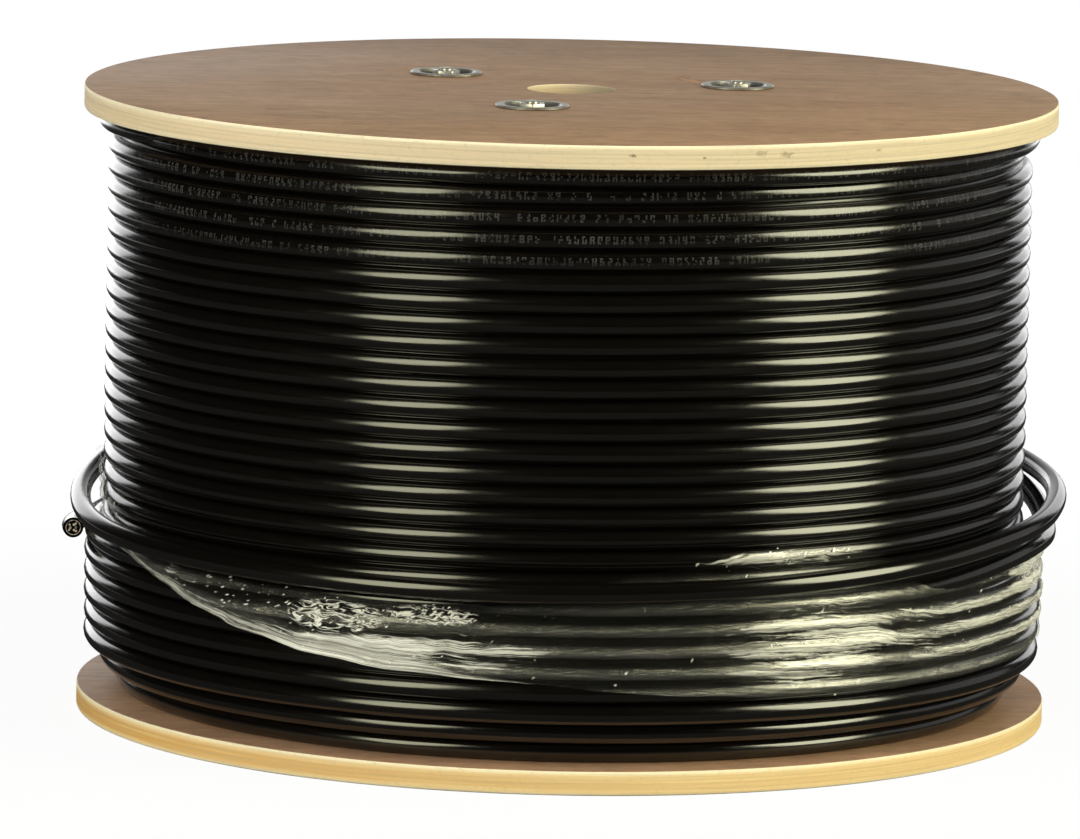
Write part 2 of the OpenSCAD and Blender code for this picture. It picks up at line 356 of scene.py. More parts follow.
class Nodes:
    """Node tree of a material or a world, with short calls for the nodes used here."""

    def __init__(self, owner):
        owner.use_nodes = True
        self.tree = owner.node_tree

    def node(self, kind, settings=None, inputs=None):
        """Adds a node; an input is a value or a socket to link from."""
        made = self.tree.nodes.new(kind)
        for key, value in (settings or {}).items():
            setattr(made, key, value)
        for key, value in (inputs or {}).items():
            self.feed(made.inputs[key], value)
        return made

    def feed(self, socket, value):
        """Links a socket, or sets its value."""
        if isinstance(value, bpy.types.NodeSocket):
            self.tree.links.new(value, socket)
        else:
            socket.default_value = value

    def attribute(self, name):
        """Value that the mesh carries under a name."""
        return self.node("ShaderNodeAttribute", {"attribute_name": name}).outputs["Fac"]

    def parts(self, source):
        """X, Y and Z of a vector."""
        return self.node("ShaderNodeSeparateXYZ", inputs={"Vector": source}).outputs

    def joined(self, x, y, z=0.0):
        """Vector of three values."""
        return self.node("ShaderNodeCombineXYZ", inputs={"X": x, "Y": y, "Z": z}).outputs["Vector"]

    def length(self, source):
        """Length of a vector."""
        return self.node("ShaderNodeVectorMath", {"operation": "LENGTH"}, {0: source}).outputs["Value"]

    def mapped(self, source, scale=(1, 1, 1), rotation=(0, 0, 0), location=(0, 0, 0)):
        """Source scaled, turned and moved."""
        return self.node("ShaderNodeMapping", inputs={
            "Vector": source, "Scale": scale, "Rotation": rotation, "Location": location}).outputs["Vector"]

    def grain(self, source, scale, octaves, roughness, distortion=0.0, turn=0.0, shift=(0, 0, 0)):
        """Noise from 0 to 1, its scale given along each axis."""
        return self.node("ShaderNodeTexNoise", inputs={
            "Vector": self.mapped(source, scale, (0, 0, turn), shift), "Scale": 1.0, "Detail": octaves,
            "Roughness": roughness, "Distortion": distortion}).outputs["Fac"]

    def math(self, operation, a, b=0.0, c=0.0):
        """One sum on two or three values."""
        made = self.node("ShaderNodeMath", {"operation": operation})
        for socket, value in zip(made.inputs, (a, b, c)):
            self.feed(socket, value)
        return made.outputs[0]

    def times(self, *values):
        """Product of the values."""
        return functools.reduce(functools.partial(self.math, "MULTIPLY"), values)

    def most(self, *values):
        """Largest of the values."""
        return functools.reduce(functools.partial(self.math, "MAXIMUM"), values)

    def added(self, value, share, other):
        """A share of one value added to another."""
        return self.math("MULTIPLY_ADD", value, share, other)

    def centred(self, value):
        """Noise moved from 0 to 1 down to the two sides of zero."""
        return self.math("SUBTRACT", value, 0.5)

    def span(self, value, low, high, to_low=0.0, to_high=1.0):
        """Value carried from one range to another, held at its ends."""
        return self.node("ShaderNodeMapRange", {"clamp": True}, {
            "Value": value, "From Min": low, "From Max": high, "To Min": to_low,
            "To Max": to_high}).outputs["Result"]

    def choose(self, share, a, b):
        """Mixes two values."""
        return self.node("ShaderNodeMix", {"data_type": "FLOAT"}, {0: share, 2: a, 3: b}).outputs[0]

    def blend(self, share, a, b):
        """Mixes two colours."""
        return self.node("ShaderNodeMix", {"data_type": "RGBA"}, {0: share, 6: a, 7: b}).outputs[2]

    def tinted(self, colour, base, rows):
        """Colour carried in turn towards shades of a base; rows are value, start, full, share and shade."""
        for value, start, full, share, level in rows:
            colour = self.blend(self.span(value, start, full, 0.0, share), colour, shade(base, level))
        return colour

    def ramp(self, value, stops):
        """Colours by value; stops are places and colours."""
        made = self.node("ShaderNodeValToRGB", inputs={"Fac": value})
        band = made.color_ramp
        while len(band.elements) < len(stops):
            band.elements.new(0.5)
        for element, (at, colour) in zip(band.elements, stops):
            element.position = at
            element.color = colour
        return made.outputs["Color"]

    def relief(self, *layers):
        """Normal from bumps laid on each other: height, strength and depth in millimetres."""
        under = {}
        for height, strength, depth in layers:
            made = self.node("ShaderNodeBump", inputs={
                "Height": height, "Strength": strength, "Distance": depth * MM, **under})
            under = {"Normal": made.outputs["Normal"]}
        return under["Normal"]


class Finish(Nodes):
    """One new material's node tree."""

    def __init__(self, name):
        self.material = bpy.data.materials.new(name)
        super().__init__(self.material)
        self.shader = self.tree.nodes["Principled BSDF"]

    def place(self):
        """Object coordinates."""
        return self.node("ShaderNodeTexCoord").outputs["Object"]

    def look(self, **inputs):
        """Sets the shader's own inputs, spaces in their names written as underscores."""
        for key, value in inputs.items():
            self.feed(self.shader.inputs[key.replace("_", " ")], value)


def opaque(colour):
    """Colour with full alpha."""
    return (*colour, 1.0)


def shade(colour, share):
    """Colour made lighter or darker."""
    return (*(min(1.0, c * share) for c in colour), 1.0)


def shades(colour, rows):
    """Places and shades of a colour, for a ramp."""
    return [(at, shade(colour, share)) for at, share in rows]


class DrumWood(bpy.types.PropertyGroup):
    """Sizes and colours of the flanges."""

    rim_round: FloatProperty(
        name="Rim Round", description="Broken edge round each face", default=1.0 * MM, unit="LENGTH")
    ply_relief: FloatProperty(
        name="Ply Relief", description="Depth of a glue line", default=0.1 * MM, unit="LENGTH")
    upper_veneer: FloatVectorProperty(
        name="Upper Veneer", description="Upper flange faces", default=(0.303, 0.19, 0.115), subtype="COLOR")
    lower_veneer: FloatVectorProperty(
        name="Lower Veneer", description="Lower flange faces", default=(0.33, 0.195, 0.115), subtype="COLOR")
    red_grain: FloatVectorProperty(
        name="Red Grain", description="Redder bands of veneer", default=(0.30, 0.165, 0.095), subtype="COLOR")
    # Pale outer plies, also standing in as painted highlight on the rounded arrises
    arris: FloatVectorProperty(
        name="Arris", description="Pale outer plies", default=(0.92, 0.84, 0.62), subtype="COLOR")
    heart: FloatVectorProperty(
        name="Heart", description="Golden middle plies", default=(0.74, 0.42, 0.12), subtype="COLOR")
    knot: FloatVectorProperty(
        name="Knot", description="Small knots in the edge", default=(0.14, 0.085, 0.03), subtype="COLOR")
    upper_ply: FloatVectorProperty(
        name="Upper Ply", description="Upper flange's edge", default=(0.73, 0.61, 0.42), subtype="COLOR")
    lower_ply: FloatVectorProperty(
        name="Lower Ply", description="Lower flange's edge", default=(0.92, 0.69, 0.36), subtype="COLOR")
    tube: FloatVectorProperty(
        name="Fibreboard", description="Barrel tube", default=(0.40, 0.29, 0.18), subtype="COLOR")


class DrumCable(bpy.types.PropertyGroup):
    """Sizes and finish of the cable."""

    diameter: FloatProperty(
        name="Diameter", description="Outside of the jacket", default=8.4 * MM, unit="LENGTH")
    full_radius: FloatProperty(
        name="Full Layer", description="Centre of the last full layer", default=185.9 * MM, unit="LENGTH")
    lap_radius: FloatProperty(
        name="Lap Layer", description="Centre of the turns on top of it", default=193.3 * MM, unit="LENGTH")
    layer_rise: FloatProperty(
        name="Layer Rise", description="Radius gained by each layer", default=7.4 * MM, unit="LENGTH")
    bore_radius: FloatProperty(
        name="Bore", description="Bore of the winding", default=100.3 * MM, unit="LENGTH")
    steps_per_turn: IntProperty(
        name="Steps", description="Rings of the mesh in each turn", default=128, min=24)
    jacket: FloatVectorProperty(
        name="Jacket", description="Jacket colour", default=(0.0024, 0.0019, 0.0013), subtype="COLOR")
    shine: FloatProperty(
        name="Roughness", description="Roughness of the jacket", default=0.15, subtype="FACTOR")


class DrumFilm(bpy.types.PropertyGroup):
    """Sizes and finish of the stretch film."""

    stand_off: FloatProperty(
        name="Stand-Off", description="Film clear of the turns", default=0.25 * MM, unit="LENGTH")
    sag: FloatProperty(
        name="Sag", description="How far the film dips between turns", default=0.7 * MM, unit="LENGTH")
    steps_round: IntProperty(name="Steps Round", description="Columns of the mesh", default=1260, min=72)
    steps_up: IntProperty(name="Steps Up", description="Rows of the mesh", default=60, min=4)
    tint: FloatVectorProperty(
        name="Tint", description="Film colour", default=(0.98, 0.97, 0.88), subtype="COLOR")


class DrumStage(bpy.types.PropertyGroup):
    """Camera and lamps."""

    eye: FloatVectorProperty(
        name="Eye", description="Camera place", default=(-0.0103, -3.8185, 0.6729), subtype="TRANSLATION")
    pitch: FloatProperty(name="Pitch", description="Camera tilt down", default=0.14365, unit="ROTATION")
    roll: FloatProperty(name="Roll", description="Camera roll", default=0.0209, unit="ROTATION")
    lens: FloatProperty(name="Lens", description="Focal length in millimetres", default=311.455)
    lamp_tint: FloatVectorProperty(
        name="Lamp Tint", description="Colour of the softboxes", default=(1.0, 0.975, 0.68), subtype="COLOR")
    left_level: FloatProperty(name="Left Level", description="Brightness of the left softbox", default=3.6)
    right_level: FloatProperty(name="Right Level", description="Brightness of the right softbox", default=6.0)
    left_rim: FloatProperty(name="Left Rim", description="Brightness behind on the left", default=1.8)
    right_rim: FloatProperty(name="Right Rim", description="Brightness behind on the right", default=1.3)
    side_level: FloatProperty(name="Side Level", description="Brightness of the dim right side", default=0.28)
    left_fill: FloatProperty(name="Left Fill", description="Left fill, not in gloss", default=2.05)
    right_fill: FloatProperty(name="Right Fill", description="Right fill, not in gloss", default=2.0)


def turn_height(turns):
    """Height of the full layer's centre after a number of turns."""
    pitch = (UPPER_FACE - LOWER_FACE) / TURN_COUNT
    return LOWER_FACE + pitch * (turns + 0.5)


def row_radius(cable, row):
    """Centre radius of a row, the lowest lap rows slipped inwards."""
    if row < len(ROW_SLIPS):
        return cable.lap_radius - ROW_SLIPS[row] * cable.layer_rise
    return cable.lap_radius if row < LAP_ROWS else cable.full_radius


def full_layer_path(cable):
    """Last full layer: a rising helix whose top turn runs out of room under the flange."""
    first_turn = LAP_ROWS - 2
    last_turn = TURN_COUNT - 1
    # Shares of the top turn at which it starts to dive behind the turn below, and at which it ends
    dive_from = 290 / 360
    tail = 345 / 360
    dive = 9 * MM
    waves = 2.4
    top = turn_height(last_turn)
    count = int((last_turn + tail - first_turn) * cable.steps_per_turn)
    path = []
    for k in range(count + 1):
        turns = first_turn + k / cable.steps_per_turn
        angle = math.radians(TURN_DATUM_DEG) + FULL_TURN * turns
        height = min(turn_height(turns), top)
        radius = cable.full_radius
        past = turns - last_turn
        if past > -1:
            below = turn_height(turns - 1) if past > 0 else height
            squeeze = math.sqrt(max(0.0, cable.diameter ** 2 - (top - below) ** 2)) / 2
            share = past if past > 0 else past + 1
            fade = 1 - smooth_step((share - dive_from) / (tail - dive_from))
            radius += squeeze * fade if past > 0 else -squeeze * fade
            if past > 0:
                radius -= dive * (1 - fade)
        x, y = math.cos(angle) * waves, math.sin(angle) * waves
        radius += STRAY_OUT * wobble(x, y, turns * 0.9)
        height += STRAY_UP * wobble(x + 7, y, turns * 0.7)
        path.append(polar(angle, radius, min(height, top)))
    return path


def lap_place(cable, angle):
    """Radius and height of the lap layer at an angle counted on from its start, in degrees."""
    row = int((angle - LAP_STEP_DEG) // 360)

    def level(i):
        i = min(max(i, 0), LAP_ROWS - 1)
        return row_radius(cable, i), turn_height(i)

    into = angle - LAP_STEP_DEG - 360 * row
    radius, height = level(row)
    share = 0.0
    other = (radius, height)
    if into < LAP_STEP_HALF_DEG:
        other, share = level(row - 1), 0.5 * (1 - into / LAP_STEP_HALF_DEG)
    elif into > 360 - LAP_STEP_HALF_DEG:
        other, share = level(row + 1), 0.5 * (1 - (360 - into) / LAP_STEP_HALF_DEG)
    share = smooth_step(share)
    radius += (other[0] - radius) * share
    height += (other[1] - height) * share
    leave = smooth_step(1 - (LAP_END_DEG - angle) / LAP_LEAVE_DEG)
    exit_radius, exit_height = (v * MM for v in LOOSE_ROUTE[0][1:])
    return radius + (exit_radius - radius) * leave, height + (exit_height - height) * leave


def lap_layer_path(cable):
    """Lower turns on top of the full layer: level in front, each stepping up behind the drum."""
    start = LAP_STEP_DEG
    rise_in = 70
    sink = 9 * MM
    waves = 2.2
    long_wave = 400
    count = int((LAP_END_DEG - start) / 360 * cable.steps_per_turn)
    path = []
    for k in range(count + 1):
        angle = start + (LAP_END_DEG - start) * k / count
        radius, height = lap_place(cable, angle)
        radius -= sink * (1 - smooth_step((angle - start) / rise_in))
        to_go = min(1.0, (LAP_END_DEG - angle) / rise_in)
        turn = math.radians(angle)
        x, y = math.cos(turn) * waves, math.sin(turn) * waves
        radius += STRAY_OUT * wobble(x, y, angle / long_wave + 31) * to_go
        height += STRAY_UP * wobble(x + 5, y, angle / long_wave + 47) * to_go
        path.append(polar(turn, radius, max(height, LOWER_FACE + cable.diameter / 2)))
    return path


def route_point(i):
    """Point of the loose end's route by index, carried on in the same sense past either end."""
    last = len(LOOSE_ROUTE) - 1
    if i < 0:
        place = [2 * a - b for a, b in zip(LOOSE_ROUTE[0], LOOSE_ROUTE[1])]
    elif i > last:
        place = [2 * a - b for a, b in zip(LOOSE_ROUTE[last], LOOSE_ROUTE[last - 1])]
    else:
        place = LOOSE_ROUTE[i]
    return polar(math.radians(place[0]), place[1] * MM, place[2] * MM)


def loose_path():
    """Smooth curve through the loose end's route."""
    path = []
    for i in range(len(LOOSE_ROUTE) - 1):
        a, b, c, d = (route_point(i + k) for k in (-1, 0, 1, 2))
        for j in range(ROUTE_STEPS):
            u = j / ROUTE_STEPS
            path.append(b + u / 2 * ((c - a) + u * ((2 * a - 5 * b + 4 * c - d) + u * (3 * (b - c) + d - a))))
    path.append(route_point(len(LOOSE_ROUTE) - 1))
    return path


def print_marks(finish, along, side, place):
    """Share of faint printed strokes, grouped like words that say nothing, on the topmost turns."""
    stroke, columns, drawn_columns = 0.6 * MM, 5.0, 2.5
    row_turn, row_start, drawn_rows = 0.15, 0.02, 2.5
    blank_strokes, blank_letters, strength, same = 0.4, 0.16, 0.17, 0.1
    column = finish.math("FLOOR", finish.math("DIVIDE", along, stroke))
    row = finish.math("FLOOR", finish.math("DIVIDE", finish.math("SUBTRACT", side, row_start), row_turn))
    from_middle = finish.math("ABSOLUTE", row)
    letter = finish.math("FLOOR", finish.math("DIVIDE", column, columns))
    in_letter = finish.math("SUBTRACT", column, finish.times(letter, columns))
    middle = finish.math("COMPARE", in_letter, 1.0, same)
    upright = finish.added(in_letter, 3.0, finish.math("SIGN", row))
    cell = finish.joined(letter, finish.choose(middle, upright, row), middle)
    strokes = finish.node("ShaderNodeTexWhiteNoise", {"noise_dimensions": "3D"}, {"Vector": cell})
    letters = finish.node("ShaderNodeTexWhiteNoise", {"noise_dimensions": "1D"}, {"W": letter})
    bar_gap = finish.times(middle, finish.math("COMPARE", from_middle, 1.0, same))
    return finish.times(
        finish.math("GREATER_THAN", strokes.outputs["Value"], blank_strokes),
        finish.math("GREATER_THAN", letters.outputs["Value"], blank_letters),
        finish.math("SUBTRACT", 1.0, bar_gap),
        finish.math("LESS_THAN", in_letter, drawn_columns),
        finish.math("LESS_THAN", from_middle, drawn_rows),
        finish.span(finish.grain(place, (60, 60, 60), 3, 0.6), 0.35, 0.6, 0.3, 1.0),
        finish.span(finish.parts(place)[2], *PRINT_BAND, 0.0, strength))


def jacket_finish(cable, name, marked):
    """Black jacket: glossy, faintly ribbed from the die, dusty in places, with faint worn marks."""
    finish = Finish(name)
    place = finish.place()
    along, side = finish.attribute("lay_length"), finish.attribute("lay_side")
    lay = finish.joined(along, side)
    dust = finish.grain(place, (55, 55, 55), 6, 0.6)
    scuff = finish.grain(lay, (120, 3, 1), 3, 0.6)
    ribs = finish.grain(lay, (3, 14, 1), 2, 0.5)
    waves = finish.grain(lay, (45, 0.8, 1), 2, 0.5)
    colour = finish.tinted(opaque(cable.jacket), cable.jacket, ((dust, 0.5, 0.8, 0.35, 2.2),))
    if marked:
        colour = finish.blend(print_marks(finish, along, side, place), colour, PRINT_GREY)
    finish.look(
        Base_Color=colour, Roughness=finish.span(scuff, 0.3, 0.75, cable.shine - 0.02, cable.shine + 0.05),
        Normal=finish.relief((ribs, 0.12, 0.2), (waves, 0.1, 0.4)), IOR=1.6, Specular_IOR_Level=0.9)
    return finish.material


def veneer_finish(wood, name, veneer, torn_at=None):
    """Brown face veneer with straight grain, short flecks, redder bands and, where given, a torn spot."""
    finish = Finish(name)
    place = finish.place()
    bands = finish.grain(place, (3, 16, 3), 5, 0.6, 0.4)
    patches = finish.grain(place, (20, 44, 10), 4, 0.62, 0.6, shift=(1, 5, 0))
    red = finish.grain(place, (9, 26, 5), 4, 0.6, shift=(4, 2, 0))
    mottle = finish.grain(place, (110, 150, 60), 5, 0.7, 0.5)
    lines = finish.grain(place, (14, 260, 20), 5, 0.65, 0.3)
    pores = finish.grain(place, (90, 700, 60), 2, 0.5)
    colour = finish.ramp(bands, shades(veneer, VENEER_BANDS))
    colour = finish.tinted(colour, veneer, (
        (patches, 0.5, 0.68, 0.45, 1.3), (patches, 0.48, 0.32, 0.45, 0.7)))
    colour = finish.blend(finish.span(red, 0.48, 0.7, 0.0, 0.5), colour, opaque(wood.red_grain))
    colour = finish.tinted(colour, veneer, (
        (mottle, 0.52, 0.70, 0.42, 1.55), (mottle, 0.48, 0.30, 0.55, 0.55), (lines, 0.68, 0.32, 0.22, 0.55),
        (pores, 0.60, 0.72, 0.5, 0.42)))
    if torn_at:
        colour = torn_spot(finish, place, colour, torn_at)
    finish.look(
        Base_Color=colour, Roughness=finish.span(lines, 0.3, 0.7, 0.68, 0.52),
        Normal=finish.relief((lines, 0.12, 0.25), (mottle, 0.15, 0.2)), Specular_IOR_Level=0.4)
    return finish.material


def torn_spot(finish, place, colour, torn_at):
    """Colour with a sliver of face veneer torn off, the fresh wood showing."""
    x, y, turn = torn_at
    half_length, half_width, raggedness = 17 * MM, 4.6 * MM, 2.4
    local = finish.mapped(place, (1, 1, 0), (0, 0, -turn), (
        -x * math.cos(turn) - y * math.sin(turn), x * math.sin(turn) - y * math.cos(turn), 0))
    local = finish.mapped(local, (1 / half_length, 1 / half_width, 0))
    splinter = finish.grain(local, (2.5, 2.5, 1), 5, 0.7)
    ragged = finish.added(finish.centred(splinter), raggedness, finish.length(local))
    colour = finish.blend(finish.span(ragged, 0.95, 0.75, 0.0, 0.7), colour, TORN_EDGE)
    return finish.blend(finish.span(ragged, 0.7, 0.45, 0.0, 0.75), colour, FRESH_WOOD)


def ply_finish(wood, name, ply, heart_share, knots, base, top):
    """Sawn plywood edge: pale arrises, partly painted highlight, a golden heart, streaks along it, thin glue
    lines and knots, painted shadow at the lower face and painted shade in the bore.
    """
    finish = Finish(name)
    place = finish.place()
    x, y, height = finish.parts(place)
    waver = finish.grain(place, (14, 14, 60), 3, 0.5)
    streaks = finish.grain(place, (13, 13, 850), 5, 0.62)
    flecks = finish.grain(place, (420, 420, 700), 3, 0.6)
    level = finish.math("ADD", finish.span(height, base, top), finish.span(waver, 0.3, 0.7, -0.02, 0.02))
    colour = finish.ramp(level, shades(ply, PLY_LEVELS))
    # Pale plies at both arrises, partly painted highlight where the rounded edges catch light
    arris = finish.most(finish.span(level, 0.8, 0.9, 0.0, 0.8), finish.span(level, 0.11, 0.06, 0.0, 0.8))
    colour = finish.blend(arris, colour, opaque(wood.arris))
    # Dark veneer and painted contact shadow along the edge's lower face
    colour = finish.tinted(colour, ply, ((level, 0.05, 0.0, 1.0, 0.3),))
    heart = finish.times(
        finish.span(level, 0.12, 0.26), finish.span(level, 0.84, 0.60),
        finish.span(x, *HEART_FADES, heart_share, heart_share * 0.3))
    colour = finish.blend(heart, colour, opaque(wood.heart))
    colour = finish.tinted(colour, ply, (
        (streaks, 0.5, 0.7, 0.5, 0.68), (streaks, 0.48, 0.3, 0.35, 1.2), (flecks, 0.56, 0.72, 0.3, 0.66)))
    bore = finish.span(finish.length(finish.joined(x, y)), *BORE_LOOK)
    colour = finish.blend(finish.times(bore, 0.25), colour, opaque(wood.heart))
    # Painted shade: the bore's wall darker towards the right, the side that the lamps light less
    bore = finish.times(bore, finish.span(x, *BORE_PAINTED_SHADE, 0.05, 0.8))
    colour = finish.blend(bore, colour, shade(ply, 0.36))
    for centre, size, depth in knots:
        offset = finish.mapped(place, KNOT_SQUASH, location=[-c * s for c, s in zip(centre, KNOT_SQUASH)])
        away = finish.added(finish.centred(flecks), size * 3, finish.length(offset))
        colour = finish.blend(finish.span(away, size, size * 0.5, 0.0, depth), colour, opaque(wood.knot))
    finish.look(
        Base_Color=colour, Roughness=finish.span(streaks, 0.3, 0.7, 0.6, 0.78),
        Normal=finish.relief((streaks, 0.2, 0.2), (flecks, 0.15, 0.2)), Specular_IOR_Level=0.35)
    return finish.material


def board_finish(wood):
    """Spiral-wound fibreboard tube."""
    finish = Finish("spiral_fibreboard")
    place = finish.place()
    x, y, z = finish.parts(place)
    seams_per_metre = 11
    fibres = finish.grain(place, (220, 220, 90), 5, 0.65)
    flecks = finish.grain(place, (500, 500, 500), 2, 0.5)
    turn = finish.added(finish.math("ARCTAN2", y, x), 1 / FULL_TURN, finish.times(z, seams_per_metre))
    seam = finish.math("FRACT", turn)
    colour = finish.blend(finish.span(fibres, 0.3, 0.7), shade(wood.tube, 0.82), shade(wood.tube, 1.15))
    colour = finish.tinted(colour, wood.tube, ((flecks, 0.6, 0.75, 0.4, 0.5), (seam, 0.03, 0.0, 0.35, 0.4)))
    finish.look(
        Base_Color=colour, Roughness=finish.span(fibres, 0.3, 0.7, 0.82, 0.95),
        Normal=finish.relief((fibres, 0.3, 0.3)), Specular_IOR_Level=0.25)
    return finish.material


def zinc_finish(name, dull, bright, shade_share):
    """Zinc-plated steel, dulled and scuffed, with painted shade darkening it below the rims of the cups."""
    finish = Finish(name)
    place = finish.place()
    cloud = finish.grain(place, (160, 160, 160), 5, 0.6)
    scratch = finish.grain(place, (300, 2400, 900), 3, 0.6)
    spots = finish.grain(place, (700, 700, 700), 2, 0.5)
    # Painted shade: darker below the level of the upper cup rims, where the dishes lie in shade
    painted_shade = finish.span(
        finish.parts(place)[2], DRUM_HEIGHT - 1.2 * MM, DRUM_HEIGHT + 0.8 * MM, shade_share, 0.0)
    colour = finish.blend(finish.span(cloud, 0.35, 0.7), opaque(dull), opaque(bright))
    colour = finish.blend(finish.span(spots, 0.60, 0.72, 0.0, 0.6), colour, ZINC_SPOT)
    colour = finish.blend(painted_shade, colour, CUP_PAINTED_SHADE)
    finish.look(
        Base_Color=colour, Metallic=0.83, Roughness=finish.span(scratch, 0.3, 0.7, 0.26, 0.45),
        Normal=finish.relief((scratch, 0.08, 0.1)))
    return finish.material


def film_finish(film):
    """Clear stretch film: hazy on the crests of the turns, white in streaks and crumples where folded, with
    painted highlights along the crests, on creases and in specks.
    """
    finish = Finish("clear_stretch_film")
    uv = finish.node("ShaderNodeUVMap", {"uv_map": FILM_UV}).outputs["UV"]
    along, up, _ = finish.parts(uv)
    streaks = finish.grain(uv, (22, 14, 1), 6, 0.62, 0.4, turn=0.1)
    threads = finish.grain(uv, (30, 46, 1), 5, 0.65, 0.3, turn=0.06)
    fine = finish.grain(uv, (150, 70, 1), 5, 0.62, 0.4)
    hairs = finish.grain(uv, (14, 42, 1), 5, 0.66, 0.3, turn=0.05)
    crumple = finish.grain(uv, (120, 10, 1), 3, 0.6, 0.9)
    folds, tufts, crest = (finish.attribute(name) for name in FILM_LAYERS)
    edge = finish.node("ShaderNodeLayerWeight", inputs={"Blend": 0.3}).outputs["Fresnel"]
    torn = finish.added(threads, 0.35, finish.added(fine, 0.25, finish.times(streaks, 0.4)))
    torn = finish.span(torn, 0.34, 0.66)
    # Calm on the right, where the film lies in straight pleats along the turns
    calm = finish.span(along, *FILM_CALMS)
    raised = finish.times(finish.centred(torn), finish.span(calm, 0.0, 1.0, 1.0, 0.3))
    # Painted highlight: the film whiter near the crest of each turn, more so where it lies calm
    raised = finish.added(
        finish.centred(crest), finish.span(calm, 0.0, 1.0, 0.35, 0.85), finish.math("ADD", raised, 0.5))
    above = finish.math("SUBTRACT", raised, finish.span(folds, 0.0, 1.0, 1.15, 0.12))
    white = finish.times(finish.span(above, 0.0, 0.2), finish.span(folds, 0.3, 0.75, 0.5, 1.0))
    # Painted highlights: white lines along crumpled creases and small specks stand in for glints
    crease = finish.times(
        finish.span(finish.math("ABSOLUTE", finish.centred(crumple)), 0.015, 0.065, 1.0, 0.0),
        finish.span(tufts, 0.5, 0.8), finish.span(threads, 0.38, 0.5))
    glints = finish.most(crease, painted_glints(finish, uv, tufts, fine))
    haze = finish.times(
        finish.span(crest, 0.4, 0.95, 0.02, 0.26), finish.span(torn, 0.15, 0.85, 0.35, 1.3),
        finish.span(up, 1.0, 0.72), finish.span(folds, 0.2, 0.7, 1.0, 1.9))
    streaked = finish.times(white, finish.span(hairs, 0.4, 0.54, 0.36, 0.97))
    white = finish.most(white, glints)
    cover = finish.added(edge, 0.1, finish.most(haze, streaked, glints))
    # Folds on the left are several wraps thick, so they mirror less
    mirror = finish.span(along, *FILM_MIRRORS, 0.04, 0.24)
    finish.look(
        Base_Color=opaque(film.tint), Metallic=finish.span(white, 0.0, 0.6, 0.72, mirror),
        Roughness=finish.added(white, 0.04, finish.span(fine, 0.3, 0.7, 0.14, 0.3)),
        Alpha=finish.math("MINIMUM", cover, 0.95),
        Normal=finish.relief(
            (streaks, 0.35, 0.8), (threads, 0.7, 0.5), (hairs, 0.6, 0.5), (fine, 0.35, 0.3),
            (finish.times(crumple, tufts), 0.4, 1.2)))
    return finish.material


def painted_glints(finish, uv, tufts, ragged):
    """Small slanted glints painted into the film as white specks, more and larger where it is crumpled."""
    slanted = finish.mapped(finish.mapped(uv, (400, 14, 1), (0, 0, 0.7)), (1.6, 0.6, 1))
    cells = finish.node(
        "ShaderNodeTexVoronoi", {"voronoi_dimensions": "2D"}, {"Vector": slanted, "Scale": 1.0}).outputs
    chance, size, _ = finish.parts(cells["Color"])
    chosen = finish.math("GREATER_THAN", chance, finish.span(tufts, 0.0, 1.0, 0.94, 0.62))
    reach = finish.added(tufts, 0.2, finish.span(size, 0.0, 1.0, -0.04, 0.16))
    away = finish.added(finish.centred(ragged), 0.9, cells["Distance"])
    return finish.times(chosen, finish.math("LESS_THAN", away, reach))


